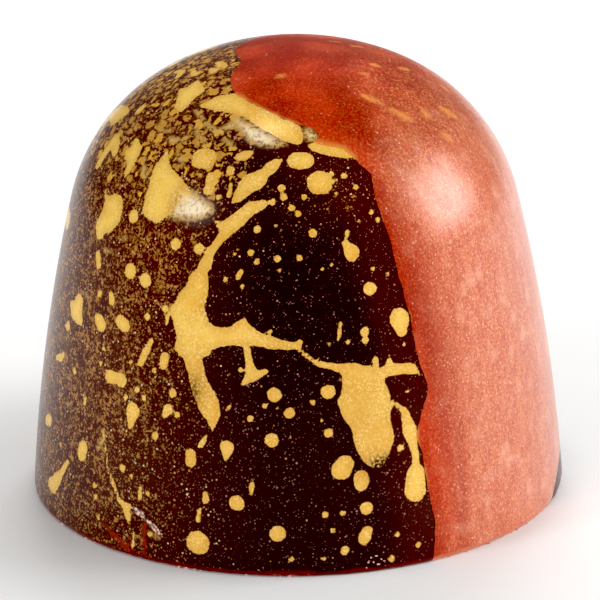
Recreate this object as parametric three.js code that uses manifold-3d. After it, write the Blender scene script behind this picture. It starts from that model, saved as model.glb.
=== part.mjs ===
// A moulded chocolate praline: a tall dome with drafted walls, standing on the flat base that
// closed it in the mould. Its coloured decoration lies flush in the surface and has no relief.
// Millimetres, +Z up. The origin is the centre of the base, and the decorated front faces -Y.
import * as THREE from "three";
import { mergeVertices } from "three/addons/utils/BufferGeometryUtils.js";
import Module from "manifold-3d";

// Driving dimensions of the mould's cavity, which is turned from four arcs tangent to each other.
// A lean is the angle between the wall and the vertical: 0 is upright and 90 is the flat crown.
const BASE_DIAMETER = 28.0;
const FOOT_RADIUS = 0.25; // the knife-trimmed edge round the base
const WALL_LEAN = 4.0; // degrees, the draft where the wall leaves the foot
const WALL_RADIUS = 94.5; // the wall bows out a little
const SHOULDER_LEAN = 13.5; // degrees, where the wall turns into the shoulder
const SHOULDER_RADIUS = 9.9;
const CROWN_LEAN = 65.0; // degrees, where the shoulder turns into the flatter crown

// The scar low on the front left, where a flake of the shell came away at the edge.
const SCAR_AZIMUTH = -37.0; // degrees round from the front, -Y, towards +X
const SCAR_HEIGHT = 1.2; // of its middle above the base
const SCAR_WIDTH = 3.4;
const SCAR_LENGTH = 2.2; // up the wall
const SCAR_DEPTH = 0.12;
const SCAR_SLANT = 24.0; // degrees, its upper edge falls towards the front

// How finely the round surfaces are faceted.
const ROUND_SEGMENTS = 96;
const FOOT_STEPS = 3;
const WALL_STEPS = 8;
const SHOULDER_STEPS = 12;
const CROWN_STEPS = 7;
const SCOOP_SEGMENTS = 32;

const { degToRad } = THREE.MathUtils;
const wasm = await Module();
wasm.setup();

// Adds the points of an arc that leaves the last point of the outline at one lean and ends at another.
function addArc(outline, radius, startLean, endLean, steps) {
  const from = outline.at(-1);
  const start = degToRad(startLean);
  const end = degToRad(endLean);
  for (let step = 1; step <= steps; step++) {
    const lean = start + ((end - start) * step) / steps;
    outline.push(
      new THREE.Vector2(
        from.x - radius * (Math.cos(start) - Math.cos(lean)),
        from.y + radius * (Math.sin(lean) - Math.sin(start)),
      ),
    );
  }
}

// Half of the praline's section, from the centre of the base round to the top of the crown.
function domeOutline() {
  const outline = [
    new THREE.Vector2(0, 0),
    new THREE.Vector2(BASE_DIAMETER / 2 - FOOT_RADIUS, 0),
  ];
  addArc(outline, FOOT_RADIUS, -90, WALL_LEAN, FOOT_STEPS);
  addArc(outline, WALL_RADIUS, WALL_LEAN, SHOULDER_LEAN, WALL_STEPS);
  addArc(outline, SHOULDER_RADIUS, SHOULDER_LEAN, CROWN_LEAN, SHOULDER_STEPS);
  const crownRadius = outline.at(-1).x / Math.cos(degToRad(CROWN_LEAN)); // ends it on the axis
  addArc(outline, crownRadius, CROWN_LEAN, 90, CROWN_STEPS);
  outline.at(-1).x = 0;
  return outline;
}

// The whole praline before the scar, turned about +Z.
function domeGeometry() {
  return new THREE.LatheGeometry(domeOutline(), ROUND_SEGMENTS).rotateX(Math.PI / 2);
}

// Radius of the wall at a height, found between the outline's points.
function wallRadiusAt(height) {
  const outline = domeOutline().slice(1);
  const above = outline.findIndex((point) => point.y > height);
  const [low, high] = [outline[above - 1], outline[above]];
  return THREE.MathUtils.mapLinear(height, low.y, high.y, low.x, high.x);
}

// The flattened ball that scoops the scar out of the wall.
function scarGeometry() {
  const halfDepth = SCAR_DEPTH * 4; // mostly outside the wall, so that it leaves a shallow dish
  const azimuth = degToRad(SCAR_AZIMUTH);
  const reach = wallRadiusAt(SCAR_HEIGHT) + halfDepth - SCAR_DEPTH;
  const spread = Math.sqrt(1 - ((halfDepth - SCAR_DEPTH) / halfDepth) ** 2); // of the dish, in ball radii
  return new THREE.SphereGeometry(1, SCOOP_SEGMENTS, SCOOP_SEGMENTS / 2)
    .scale(SCAR_WIDTH / 2 / spread, halfDepth, SCAR_LENGTH / 2 / spread)
    .rotateY(degToRad(SCAR_SLANT))
    .rotateX(degToRad(-WALL_LEAN))
    .translate(0, -reach, SCAR_HEIGHT)
    .rotateZ(azimuth);
}

// A closed geometry as a solid that can be cut.
function solidOf(geometry) {
  const bare = geometry.clone();
  bare.deleteAttribute("normal");
  bare.deleteAttribute("uv");
  const merged = mergeVertices(bare);
  return new wasm.Manifold(
    new wasm.Mesh({
      numProp: 3,
      vertProperties: merged.attributes.position.array,
      triVerts: new Uint32Array(merged.index.array),
    }),
  );
}

// A cut solid as a geometry again.
function geometryOf(solid) {
  const { vertProperties, triVerts } = solid.getMesh();
  const geometry = new THREE.BufferGeometry();
  geometry.setAttribute("position", new THREE.BufferAttribute(vertProperties, 3));
  geometry.setIndex(new THREE.BufferAttribute(triVerts, 1));
  geometry.computeVertexNormals();
  return geometry;
}

// Glossy dark chocolate. The coloured cocoa butter on it has no thickness to speak of.
function chocolate() {
  return new THREE.MeshStandardMaterial({ color: 0x2a0a08, roughness: 0.3, metalness: 0 });
}

function makePraline() {
  const scarred = solidOf(domeGeometry()).subtract(solidOf(scarGeometry()));
  const praline = new THREE.Mesh(geometryOf(scarred), chocolate());
  praline.name = "praline";
  return praline;
}

const group = new THREE.Group();
group.add(makePraline());
export default group;
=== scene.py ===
"""A moulded chocolate praline, coloured with pearly cocoa butter, in a small pale studio.

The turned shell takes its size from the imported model. Every coloured mark has a place on it,
given by the azimuth, in degrees round from the front towards +X, and by the girth, which is
the distance up the surface from the foot, in millimetres. The marks reach the material as
attributes of the shell's own mesh, and fine noise gives them their ragged edges.
"""
import logging
import math
import random
from bisect import bisect_left
from collections.abc import Callable, Iterable, Iterator
from dataclasses import dataclass, field
from enum import Enum
from functools import lru_cache, partialmethod

import bmesh
import bpy
from mathutils import Matrix, Vector
from mathutils.kdtree import KDTree


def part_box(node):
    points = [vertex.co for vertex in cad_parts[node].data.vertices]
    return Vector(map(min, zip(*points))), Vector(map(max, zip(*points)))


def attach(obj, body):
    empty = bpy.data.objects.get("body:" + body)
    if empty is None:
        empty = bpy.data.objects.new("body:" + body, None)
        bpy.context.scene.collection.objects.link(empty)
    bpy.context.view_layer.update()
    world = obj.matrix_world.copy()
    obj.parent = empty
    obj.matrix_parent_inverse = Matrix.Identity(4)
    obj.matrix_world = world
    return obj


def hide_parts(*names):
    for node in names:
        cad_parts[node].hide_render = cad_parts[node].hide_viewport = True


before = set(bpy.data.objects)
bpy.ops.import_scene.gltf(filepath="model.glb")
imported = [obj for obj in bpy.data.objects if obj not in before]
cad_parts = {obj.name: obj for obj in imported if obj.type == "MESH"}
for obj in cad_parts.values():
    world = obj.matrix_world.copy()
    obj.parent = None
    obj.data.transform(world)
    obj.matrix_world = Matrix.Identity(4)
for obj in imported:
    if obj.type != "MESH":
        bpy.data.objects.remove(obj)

LOG = logging.getLogger("praline")
CAD_NODE = "praline"
BODY = "root"
MM = 0.001  # metres in a millimetre

Mark = tuple[float, float, float]  # azimuth, girth and half width
Point = tuple[float, float]  # azimuth and girth
Span = tuple[float, float]  # a lowest and a highest value
Patch = tuple[float, Point, Point]  # height, centre and half width of a soft bump
Rgb = tuple[int, int, int]  # sRGB, 0 to 255
Socket = bpy.types.NodeSocket
Source = Socket | float | tuple[float, ...]


class Layer(Enum):
    """The attributes of the shell's mesh that its finish reads."""

    SPLASH = "splash"  # mm inside the edge of thick yellow
    FILM = "film"  # mm inside the edge of thin, dull yellow
    COAT = "coat"  # mm inside the edge of the brushed red
    MIST = "mist"  # 0 to 1, how thickly the fine yellow spray lies
    FROTH = "froth"  # 0 to 1, how far the spray has run together
    GHOST = "ghost"  # mm inside a splash that glows through the red
    # pale copper is partly pearlier paint and partly painted sheen where the right light falls, with a
    # painted highlight
    PALE_AND_SHEEN = "pale_and_sheen"  # 0 to 1, from deep red to pale copper
    # thin also holds one painted highlight, at the sail, where the yellow fades to the pale film
    THIN = "thin"  # 0 to 1, where the paint is so thin that the dark shows
    FLAKE = "flake"  # mm inside the pale flake at the scar
    SMEAR = "smear"  # mm inside a smear of red low on the left
    GIRTH = "girth"  # mm up the surface, below 0 on the base


# The long splash that reaches from the left shoulder to the red, in its parts.
TRUNK: tuple[Point, ...] = (
    (-22, 16.1), (-21.3, 14.55), (-22.1, 13.85), (-20.8, 13.07), (-18.9, 12.88), (-15.6, 12.92),
    (-13.65, 13.23), (-12, 13.5), (-10.7, 13.08), (-8.1, 12.7), (-4.8, 12.5), (0.4, 12.2),
    (0.4, 11.95), (-5.8, 11.92), (-9.4, 12.08), (-12.7, 12), (-15.6, 12.04), (-18.2, 11.85),
    (-19.85, 11.7), (-20.2, 11.4), (-22.1, 11.2), (-20.5, 10.2), (-17.4, 9.15), (-17.1, 8.4),
    (-18.9, 7.6), (-20, 8.05), (-22.1, 8.6), (-24.1, 9.55), (-25.4, 10.55), (-26.2, 11.05),
    (-29, 11.45), (-28.7, 12.1), (-30, 12.9), (-31, 13.45), (-30, 13.85), (-28.7, 14.45),
    (-26.7, 14.9), (-26.4, 15.3), (-24.75, 15.7), (-23.1, 16),
)
BLADE: tuple[Point, ...] = (
    (-17.4, 19.1), (-15.2, 19.2), (-13.2, 19.55), (-10, 19.95), (-8.3, 20.2), (-7.6, 20.6),
    (-4.6, 21.1), (-3.2, 21.6), (-5.5, 21.62), (-8, 21.4), (-9.6, 21.02), (-12, 20.85),
    (-14.4, 20.68), (-15.8, 20.3), (-17.1, 19.7),
)
SAIL: tuple[Point, ...] = (
    (-44, 21.5), (-41.7, 20.85), (-38.5, 20.4), (-34.9, 20.1), (-32, 19.75), (-29.6, 19.4),
    (-30.6, 18.9), (-33, 18.6), (-35, 18), (-38.5, 17.55), (-42.4, 17.7), (-44, 18),
    (-44.6, 19.2), (-45.8, 20.2),
)
HEAD: tuple[Point, ...] = (
    (9.8, 11.1), (13, 11.07), (16.3, 10.85), (18.3, 10.65), (20.2, 10.7), (21.6, 11.2),
    (22.2, 10.8), (23.5, 10.77), (27.8, 10.6), (29.1, 9.85), (27.5, 10.1), (24, 10.2),
    (21, 10.2), (19.9, 10.1), (20.9, 9.3), (21.2, 8.7), (20.7, 8.3), (20.9, 7.8), (21.4, 7),
    (20.2, 6.4), (18.9, 5.8), (17.3, 5.55), (14.7, 5.8), (13.1, 6.4), (12.4, 7), (11.6, 7.85),
    (9.8, 8.46), (8.8, 9.15), (9.8, 9.5), (10.45, 10.5), (9, 10.85),
)
CROWN_BAND: tuple[Point, ...] = (
    (-44, 24.25), (-42, 24.8), (-40, 25.15), (-37, 25.35), (-32, 25.6), (-27, 25.6),
    (-25, 25.45), (-21, 25.1), (-17, 24.95), (-12, 24.6), (-7, 24.35), (-5, 24.1),
    (0, 23.85), (2.5, 23.55), (3.7, 23), (3.2, 22.5), (2, 22.39), (-3.2, 22.63), (-9, 23.15),
    (-13, 23.45), (-16.9, 23.75), (-20, 24), (-25, 24.2), (-30, 24.25), (-35, 24.2),
)
LEFT_BLOTS: tuple[tuple[Point, ...], ...] = (
    (
        (-60, 15.9), (-58.3, 15.75), (-57, 15.9), (-56, 16.3), (-54, 16.3), (-53, 16.6),
        (-51, 17.1), (-51.2, 17.7), (-52.2, 18.1), (-54, 18.35), (-57, 18.3), (-59, 18.05),
        (-62, 18.2), (-60, 17.8), (-59.8, 17.2), (-61, 16.6), (-61, 16.2),
    ),
    (
        (-67.8, 11.9), (-65.5, 12.1), (-64, 12.6), (-62, 12.6), (-61, 12.3), (-60.8, 11.8),
        (-59.8, 11.4), (-60, 11.1), (-62, 11.05), (-65, 11.1), (-66.5, 11.4),
    ),
    (
        (-61.5, 20.5), (-60, 20.9), (-62, 21.4), (-59, 21.3), (-57, 21.2), (-55, 21),
        (-54.3, 20.5), (-54.3, 19.6), (-55.2, 19.2), (-56.5, 19.5), (-57.5, 20), (-60, 20.1),
    ),
    (
        (-65, 24.75), (-62, 25.1), (-64, 25.9), (-60, 25.75), (-55, 25.6), (-50, 25.3),
        (-50, 25), (-49.5, 24.3), (-50, 23.6), (-55, 23.7), (-58, 24.1), (-62, 24.5),
    ),
)

# Threads, tails and long drops, each as a spine of marks.
STREAKS: tuple[tuple[Mark, ...], ...] = (
    ((-11.4, 12, 0.15), (-10.8, 11.2, 0.17), (-10, 10.6, 0.33)),
    ((-12.2, 10.1, 0.06), (-10, 10.55, 0.3), (-6.5, 10.8, 0.07)),
    ((-22.6, 15.9, 0.35), (-21.5, 16.6, 0.22), (-19.85, 17.1, 0.2), (-18.5, 17.5, 0.25),
     (-17.2, 17.9, 0.42), (-12, 18.9, 0.33), (-8.5, 19.2, 0.24)),
    ((-18.5, 17.8, 0.25), (-21, 18.1, 0.05)),
    ((0, 12.05, 0.1), (2.2, 11.6, 0.08), (5, 11.15, 0.13), (8, 11, 0.16),
     (10, 10.85, 0.2)),
    ((21.5, 8.9, 0.08), (24.2, 8.3, 0.2), (25.1, 7.3, 0.38), (26.1, 6, 0.17), (26, 5.4, 0.24)),
    ((25.9, 5, 0.5), (25.6, 4.1, 0.6)),
    ((5.5, 22.3, 0.12), (8.5, 22.24, 0.34), (12.5, 22.12, 0.46), (16, 21.9, 0.38),
     (19.4, 21.5, 0.12)),
    ((0.9, 21.5, 0.46), (3.5, 21.5, 0.48)),
    ((-46.8, 9.2, 0.37), (-45, 9.25, 0.3), (-43.2, 9.25, 0.38)),
    ((-45.4, 12.2, 0.34), (-43.8, 12.05, 0.38)),
    ((-53.2, 11.85, 0.34), (-51.9, 11.65, 0.37)),
    ((-54.5, 4.6, 0.38), (-54.1, 4.95, 0.4)),
    ((-74.2, 4.9, 0.25), (-71.6, 5.1, 0.32)),
    ((-68.5, 1.9, 0.3), (-66.3, 1.95, 0.45), (-64.4, 2.45, 0.38), (-62.5, 2.95, 0.2),
     (-60, 3.75, 0.14)),
    ((-71.5, 8.55, 0.12), (-68.5, 8.75, 0.22), (-67.3, 9, 0.15)),
    ((-92, 21.2, 0.5), (-84, 21.5, 0.66), (-80, 21.9, 0.25)),
    ((-72.3, 19.1, 0.27), (-72, 20.6, 0.38), (-68.5, 20.4, 0.33), (-66.5, 20.1, 0.2)),
    ((-74, 27.35, 0.15), (-67, 27.4, 0.26), (-61, 27.4, 0.13)),
    ((-68, 26.75, 0.14), (-63, 26.8, 0.24)),
    ((-77, 26, 0.14), (-71.5, 26, 0.22)),
    ((-88, 25.2, 0.2), (-84, 25.5, 0.2), (-79.5, 25.2, 0.2)),
    ((-87, 15.2, 0.55), (-83, 15.2, 0.5)),
    ((-18.5, 21.6, 0.15), (-16, 21.7, 0.28), (-13.5, 21.95, 0.1)),
    ((-24.7, 19.7, 0.28), (-24.8, 20.4, 0.28)),
    ((-47.6, 6.4, 0.08), (-45.3, 4.6, 0.09), (-42.8, 3.5, 0.09), (-41.5, 3.05, 0.12)),
    ((-35.5, 11.65, 0.13), (-36.5, 11.1, 0.2), (-38, 10.4, 0.2)),
    ((-15.4, 6.8, 0.36), (-15.6, 6.2, 0.08)),
    ((-23.6, 6.25, 0.28), (-23.6, 5.85, 0.28)),
    ((-21.4, 6.75, 0.18), (-20.2, 7.3, 0.08)),
    ((-20, 4.3, 0.15), (-20, 3.95, 0.17)),
    ((-21.3, 3.45, 0.1), (-21.5, 2.85, 0.13)),
    ((-9.9, 5, 0.13), (-10, 4.45, 0.07)),
    ((-15.6, 8.7, 0.08), (-15, 8.95, 0.07)),
    ((-39, 7.85, 0.42), (-39.6, 6.9, 0.08)),
    ((-30.5, 7.9, 0.12), (-29.6, 8.35, 0.28)),
    ((-31.6, 10.6, 0.24), (-31.4, 11, 0.24)),
    ((-35.8, 3.95, 0.1), (-35.8, 3.45, 0.12)),
    ((-31.6, 13.1, 0.1), (-31.6, 12.7, 0.1)),
    ((-14, 15.45, 0.12), (-13.4, 15.75, 0.12)),
    ((-18.4, 20.1, 0.11), (-18.4, 19.5, 0.12)),
    ((-29.9, 21.3, 0.6), (-28.4, 21.3, 0.55), (-26.2, 21.3, 0.12)),
    ((13.5, 17.65, 0.12), (13.1, 17.3, 0.09), (13, 17.05, 0.2), (14.3, 16.6, 0.4)),
    ((24.9, 13, 0.54), (25.3, 12.3, 0.24)),
    ((10.4, 13.1, 0.1), (9.8, 12.3, 0.1)),
    ((18.2, 11.15, 0.13), (18.2, 10.8, 0.15)),
    ((13.7, 2, 0.34), (14.3, 2.35, 0.3)),
    ((9.3, 5.7, 0.52), (10.3, 6, 0.42)),
    ((13.4, 5.2, 0.38), (13.5, 4.85, 0.36)),
    ((-41.8, 3, 0.1), (-40.1, 2.85, 0.17), (-38.6, 2.85, 0.12)),
    ((-39.6, 2.75, 0.22), (-39, 2.4, 0.2), (-38.6, 1.85, 0.08)),
    ((-37.5, 1.45, 0.06), (-37.5, 0.65, 0.1)),
    ((-49.9, 13.35, 0.18), (-49.2, 13.05, 0.22)),
    ((-57.6, 15, 0.2), (-56.5, 14.55, 0.22)),
    ((-55, 7.6, 0.14), (-55, 7.25, 0.12)),
)

# Drops that are round, or nearly so.
DROPS: tuple[Mark, ...] = (
    (-21.6, 1.68, 0.62), (-13.1, 3.96, 0.4), (-4.4, 2.45, 0.4), (-5.7, 7.3, 0.36),
    (-1.7, 8.68, 0.28), (-5, 9.63, 0.36), (-7.1, 9.04, 0.14), (-4.3, 8.94, 0.1),
    (-10.3, 8.35, 0.17), (-1.6, 1.1, 0.18), (-1.7, 7.46, 0.12), (-27.4, 8.15, 0.17),
    (-28.7, 9.25, 0.22), (-40.8, 10.3, 0.13), (-33.9, 10.2, 0.15), (-32.6, 6.85, 0.21),
    (-34.5, 6.6, 0.12), (-40.9, 4.75, 0.2), (-38.2, 4.45, 0.13), (-33.7, 3.77, 0.15),
    (-38.3, 9, 0.15), (-36.3, 8.65, 0.14), (-41.4, 8.45, 0.15), (-31.3, 16.73, 0.3),
    (-24.7, 16.7, 0.28), (-39.1, 14.6, 0.36), (-44.3, 14.85, 0.4), (-37.3, 12.8, 0.2),
    (-32.4, 13.4, 0.18), (-11, 16.73, 0.17), (-9.4, 16.3, 0.15), (-4.2, 16.46, 0.18),
    (-3.9, 15.86, 0.12), (-15.2, 16.6, 0.1), (-12.8, 15, 0.13), (-17.1, 15.3, 0.12),
    (-12.6, 10.83, 0.15), (-6.1, 12.8, 0.1), (-9.7, 17.9, 0.18), (-4.8, 18.1, 0.1),
    (-6.1, 19.3, 0.18), (-3.5, 20, 0.2), (-2.9, 19.55, 0.2), (-0.6, 19, 0.18),
    (-21.3, 19.4, 0.17), (-19.4, 20.8, 0.26), (6.95, 9.73, 0.37), (3.5, 9.2, 0.13),
    (6.7, 7.6, 0.24), (5.5, 8.3, 0.1), (14.4, 3.56, 0.35), (9.4, 1.48, 0.25), (9.4, 3.42, 0.15),
    (5.5, 3.4, 0.15), (7.1, 2.55, 0.13), (5, 1.1, 0.13), (20.9, 1.98, 0.17),
    (25.6, 1.23, 0.17), (19.4, 0.77, 0.19), (22.7, 6.44, 0.21), (25.2, 9.27, 0.1),
    (7.5, 20.25, 0.63), (2.8, 19.55, 0.17), (1.05, 18.7, 0.17),
    (4.7, 17.7, 0.22), (1.15, 16.5, 0.15), (9, 16.1, 0.12), (6.7, 15.9, 0.09),
    (18.2, 14.7, 0.33), (25.5, 11.7, 0.13), (16.1, 12.6, 0.21), (16.1, 12.15, 0.18),
    (11.8, 12.15, 0.13), (7.7, 12.1, 0.1), (5.6, 11.55, 0.08), (0.8, 12.25, 0.15),
    (17.9, 19.85, 0.17), (15, 20.5, 0.17), (12.6, 20.3, 0.1), (11.3, 20.7, 0.15),
    (12, 19.6, 0.1), (20.9, 18.5, 0.12), (22.3, 18.1, 0.15), (17, 18.1, 0.1),
    (23, 15.3, 0.12), (19.3, 15.7, 0.12), (-60.5, 8.65, 0.2), (-67, 10.6, 0.28),
    (-54.2, 13.15, 0.2), (-48.8, 2.7, 0.18), (-49.2, 3.3, 0.14), (-64, 4.4, 0.12),
    (-46.6, 17.6, 0.34), (-73, 22.6, 0.28), (-47.5, 1.7, 0.14), (-31.1, 1.8, 0.13),
    (-33.1, 1.6, 0.13), (-50.2, 10.5, 0.14), (-50.5, 9.7, 0.15),
)

# Thin, dull yellow that the dark shows through.
FILMS: tuple[tuple[Mark, ...], ...] = (
    ((-45, 21.9, 0.28), (-41, 22, 0.24), (-38.5, 22.3, 0.1)),
    ((-40, 21.3, 0.14), (-37.5, 21.1, 0.26), (-35.5, 20.7, 0.18)),
    ((-38, 22.9, 0.2), (-34, 22.4, 0.24), (-31, 22.1, 0.2)),
    ((-45, 23.9, 0.12), (-41, 23.8, 0.2), (-36, 23.3, 0.24), (-28, 22.9, 0.24),
     (-24, 23.5, 0.32), (-21, 23.7, 0.28)),
    ((-24.5, 22.5, 0.2), (-20.8, 22.2, 0.2)),
    ((-41, 25.9, 0.1), (-37.5, 26.15, 0.14), (-33.5, 26, 0.06)),
    ((-49.5, 20, 0.3), (-47.5, 19.7, 0.25)),
    ((-48.9, 5.35, 0.2), (-47.6, 5.8, 0.25)),
    ((-66, 8.1, 0.1), (-62, 8.1, 0.12)),
    ((-61, 12.7, 0.15), (-58.5, 12.7, 0.18)),
    ((-76, 21.75, 0.12), (-74, 21.75, 0.14)),
    ((-69, 21.95, 0.14), (-66, 21.5, 0.14)),
    ((-56, 22.7, 0.14), (-52, 22.8, 0.14)),
    ((-53, 22.2, 0.14), (-47, 22.4, 0.16)),
    ((-67, 6.9, 0.18), (-65.8, 6.9, 0.14)),
    ((-62.5, 6.7, 0.18), (-60.5, 6.85, 0.16)),
    ((-33.6, 1.75, 0.1), (-32, 1.6, 0.17), (-30.6, 1.55, 0.14)),
    ((-55, 15.4, 0.16), (-52, 15.5, 0.14)),
    ((-50, 16.3, 0.14), (-47, 16.4, 0.16)),
)

# The first two blots, across the front of the crown and at the sail, are partly dull film and partly
# painted highlight: their pale middles stand for the haze of reflected light.
FILM_BLOTS: tuple[tuple[Point, ...], ...] = (
    (
        (-26.8, 24.3), (-17.4, 23.83), (-9.5, 23.31), (-2.9, 22.71), (-1.1, 22.34), (-5.2, 22.18),
        (-10.6, 22.16), (-15.7, 22.39), (-19.4, 22.84), (-23.9, 23.38),
    ),
    (
        (-33.5, 19.6), (-30, 19.65), (-26, 19.33), (-22.3, 19.05), (-21, 18.63), (-22.7, 18.29),
        (-26.5, 18), (-30.6, 17.87), (-35.5, 17.8), (-35, 18.6),
    ),
    ((3.2, 23.5), (6.9, 23.5), (9.4, 23.05), (9, 22.55), (6.2, 22.5), (3.2, 22.6)),
)

# Splashes under the red coat, which glow orange through it.
GHOSTS: tuple[tuple[Mark, ...], ...] = (
    ((36.5, 25.15, 0.16), (39, 24.8, 0.26), (41.5, 24.4, 0.16)),
    ((44, 23.8, 0.16), (46, 23.3, 0.26), (47.9, 22.9, 0.16)),
    ((57.8, 23.05, 0.15), (57.2, 22.75, 0.22)),
    ((68.6, 22.6, 0.2), (70, 22.2, 0.3), (71.2, 21.9, 0.2)),
    ((57, 21.55, 0.13), (58.3, 21.25, 0.2), (59.2, 21, 0.12)),
    ((70, 26.9, 0.16), (72, 26.7, 0.18)),
    ((106.8, 28, 0.16), (108, 27.6, 0.16)),
    ((88.1, 23.2, 0.13), (88.8, 22.8, 0.15)),
    ((122.2, 28.9, 0.1), (118.7, 28.6, 0.1)),
    ((-11, 27.4, 0.12), (-9, 27.45, 0.18), (-6.5, 27.6, 0.1)),
    ((82, 25.6, 0.14), (86, 25.3, 0.18)),
    ((50, 26.8, 0.1), (54, 26.6, 0.14)),
)

# The edge of the red, once round the praline; below girth 0 it has run off the foot.
COAT_EDGE: tuple[Point, ...] = (
    (-100, 28.4), (-67, 28.5), (-53.6, 28), (-47, 27.2), (-40.3, 26.4), (-29.7, 25.5),
    (-17.8, 25), (-7.2, 24.3), (0.8, 23.75), (3.8, 23.6), (6.9, 23.45), (9.3, 23.05), (9, 22.7),
    (6.4, 22.6), (7.8, 22.42), (10, 22.3), (16.7, 22), (20.7, 21.1), (23.3, 20.5), (23, 19.5),
    (22.9, 18.9), (23.7, 18.1), (24.3, 17.3),
    (25, 16.7), (25.3, 15.9), (25.8, 15.15), (26.6, 14.4), (27.1, 13.6), (27.8, 13.1),
    (27.9, 12.15), (28.4, 11.4), (29.1, 10.4), (30.5, 9.5), (30.4, 9), (29.1, 8.4),
    (27.9, 7.8), (27.1, 7.3), (26.5, 6.85), (27.1, 6.4), (27.8, 6), (28.1, 5.15), (28.4, 4.5),
    (28.9, 3.6), (29.4, 2.85), (29.9, 2.15), (29.6, 1.4), (29.1, 0.4), (29, -1),
    (70.5, -1), (70.5, 0.2), (72, 0.6), (75.5, 1.1), (80, 1.6), (86, 2), (90, 2.6),
    (93, 4.2), (94.8, 5.4), (97.6, 6.8), (98.2, 8.3), (100.8, 9.7), (102.4, 11.5),
    (105.8, 12.6), (107.2, 14.3), (111.2, 15.7), (113.6, 17.5), (118.4, 18.8), (121.4, 20.4),
    (128, 21.5), (133, 23.1), (142, 24), (150, 25.3), (160, 25.8), (170, 26.7),
    (192, 27.6), (215, 28.2), (240, 28.5), (260, 28.4),
)

# The scar low on the left: a pale flake lifted at its edge, and smears of red below it.
FLAKES: tuple[tuple[Mark, ...], ...] = (
    ((-37.8, 2.85, 0.06), (-36.7, 2.7, 0.16), (-35.5, 2.6, 0.18), (-34.4, 2.4, 0.08)),
    ((-34, 2.4, 0.06), (-32.6, 2.15, 0.15), (-31, 1.85, 0.13), (-30, 1.8, 0.05)),
)
SMEARS: tuple[tuple[Mark, ...], ...] = (
    ((-47.5, 1.8, 0.06), (-45.5, 1.4, 0.12), (-43, 1.05, 0.17), (-40.5, 0.75, 0.2),
     (-37.5, 0.5, 0.14)),
    ((-34.6, 2.3, 0.08), (-34.7, 1.5, 0.15), (-34.4, 0.5, 0.13)),
    ((-33.5, 2.15, 0.06), (-31.5, 1.75, 0.09)),
    ((-38.7, 1.7, 0.07), (-38.4, 0.5, 0.08)),
)

# Where the paint is thin and the dark shows, each place as a soft patch; the one at the sail is a
# painted highlight.
THIN_PATCHES: tuple[Patch, ...] = (
    (1.0, (62, 24), (34, 2.8)),  # high on the right
    (0.85, (122, 26.6), (60, 2.3)),  # along the top, round to the back
    (0.5, (34, 20.5), (14, 2)),  # on the right shoulder
    (1.1, (18.4, 5.5), (4, 0.8)),  # at the tip of the front splash
    (0.85, (-23.5, 9.6), (4, 1.2)),  # on the leg of the long splash
    # painted highlight: fades the yellow at the sail to the pale film below, as the haze of the left
    # light's reflection
    (0.95, (-32.2, 18.8), (4.2, 1)),  # in the haze at the sail
    (0.42, (16, 8.6), (9, 3.4)),  # on the body of the front splash
)
# Where the spray lies thicker than round about.
SPRAY_PATCHES: tuple[Patch, ...] = (
    (0.22, (16, 19.2), (10, 2)),
    (0.2, (0, 20), (16, 2.5)),
    (0.21, (-33, 17.3), (11, 3.2)),
)
# Where the copper is paler, or deeper, than round about; the paler patch on the right shoulder is a
# painted highlight.
PALE_AND_SHEEN_PATCHES: tuple[Patch, ...] = (
    # painted highlight: the broad sheen round the right light's reflection
    (0.4, (31, 19.4), (11, 3)),
    (-0.12, (32, 5), (9, 5)),
)


def linear(colour: Rgb) -> tuple[float, float, float, float]:
    """Turn an sRGB colour into the linear one that a shader takes.

    Args:
        colour: Red, green and blue from 0 to 255.

    Returns:
        Linear red, green and blue from 0 to 1, and an alpha of 1.
    """
    parts = [value / 255.0 for value in colour]
    bright = [p / 12.92 if p <= 0.04045 else ((p + 0.055) / 1.055) ** 2.4 for p in parts]
    return (*bright, 1.0)


def smooth_step(value: float, low: float, high: float) -> float:
    """Rise smoothly from 0 to 1.

    Args:
        value: Where the curve is read.
        low: Where it leaves 0.
        high: Where it reaches 1; it may lie below low.

    Returns:
        The curve's height from 0 to 1.
    """
    share = min(1.0, max(0.0, (value - low) / (high - low)))
    return share * share * (3.0 - 2.0 * share)


def turn_between(start: float, end: float) -> float:
    """Give the shorter turn between two azimuths.

    Args:
        start: The first azimuth, in degrees.
        end: The second azimuth, in degrees.

    Returns:
        The turn from start to end, from -180 to 180 degrees.
    """
    return (end - start + 180.0) % 360.0 - 180.0


def bump_of(point: Point, centre: Point, spread: Point) -> float:
    """Give the height of a soft round bump at a point of the surface.

    Args:
        point: Azimuth and girth where it is read.
        centre: Azimuth and girth of its top.
        spread: Its half width in azimuth and in girth.

    Returns:
        The height, 1 at the centre and near 0 at twice the half width.
    """
    across = turn_between(centre[0], point[0]) / spread[0]
    along = (point[1] - centre[1]) / spread[1]
    return math.exp(-across * across - along * along)


def patches_at(point: Point, patches: tuple[Patch, ...]) -> float:
    """Add up soft patches at a point of the surface.

    Args:
        point: Azimuth and girth where they are read.
        patches: The patches.

    Returns:
        Their summed height.
    """
    return sum(height * bump_of(point, centre, spread) for height, centre, spread in patches)


def make_piece(name: str, made: bmesh.types.BMesh, material: bpy.types.Material) -> bpy.types.Object:
    """Turn a finished surface into an object of the scene.

    Args:
        name: The name of the object and of its mesh.
        made: The surface, in metres; it is freed.
        material: What it is made of.

    Returns:
        The object.
    """
    mesh = bpy.data.meshes.new(name)
    made.to_mesh(mesh)
    made.free()
    mesh.materials.append(material)
    piece = bpy.data.objects.new(name, mesh)
    bpy.context.scene.collection.objects.link(piece)
    return piece


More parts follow.
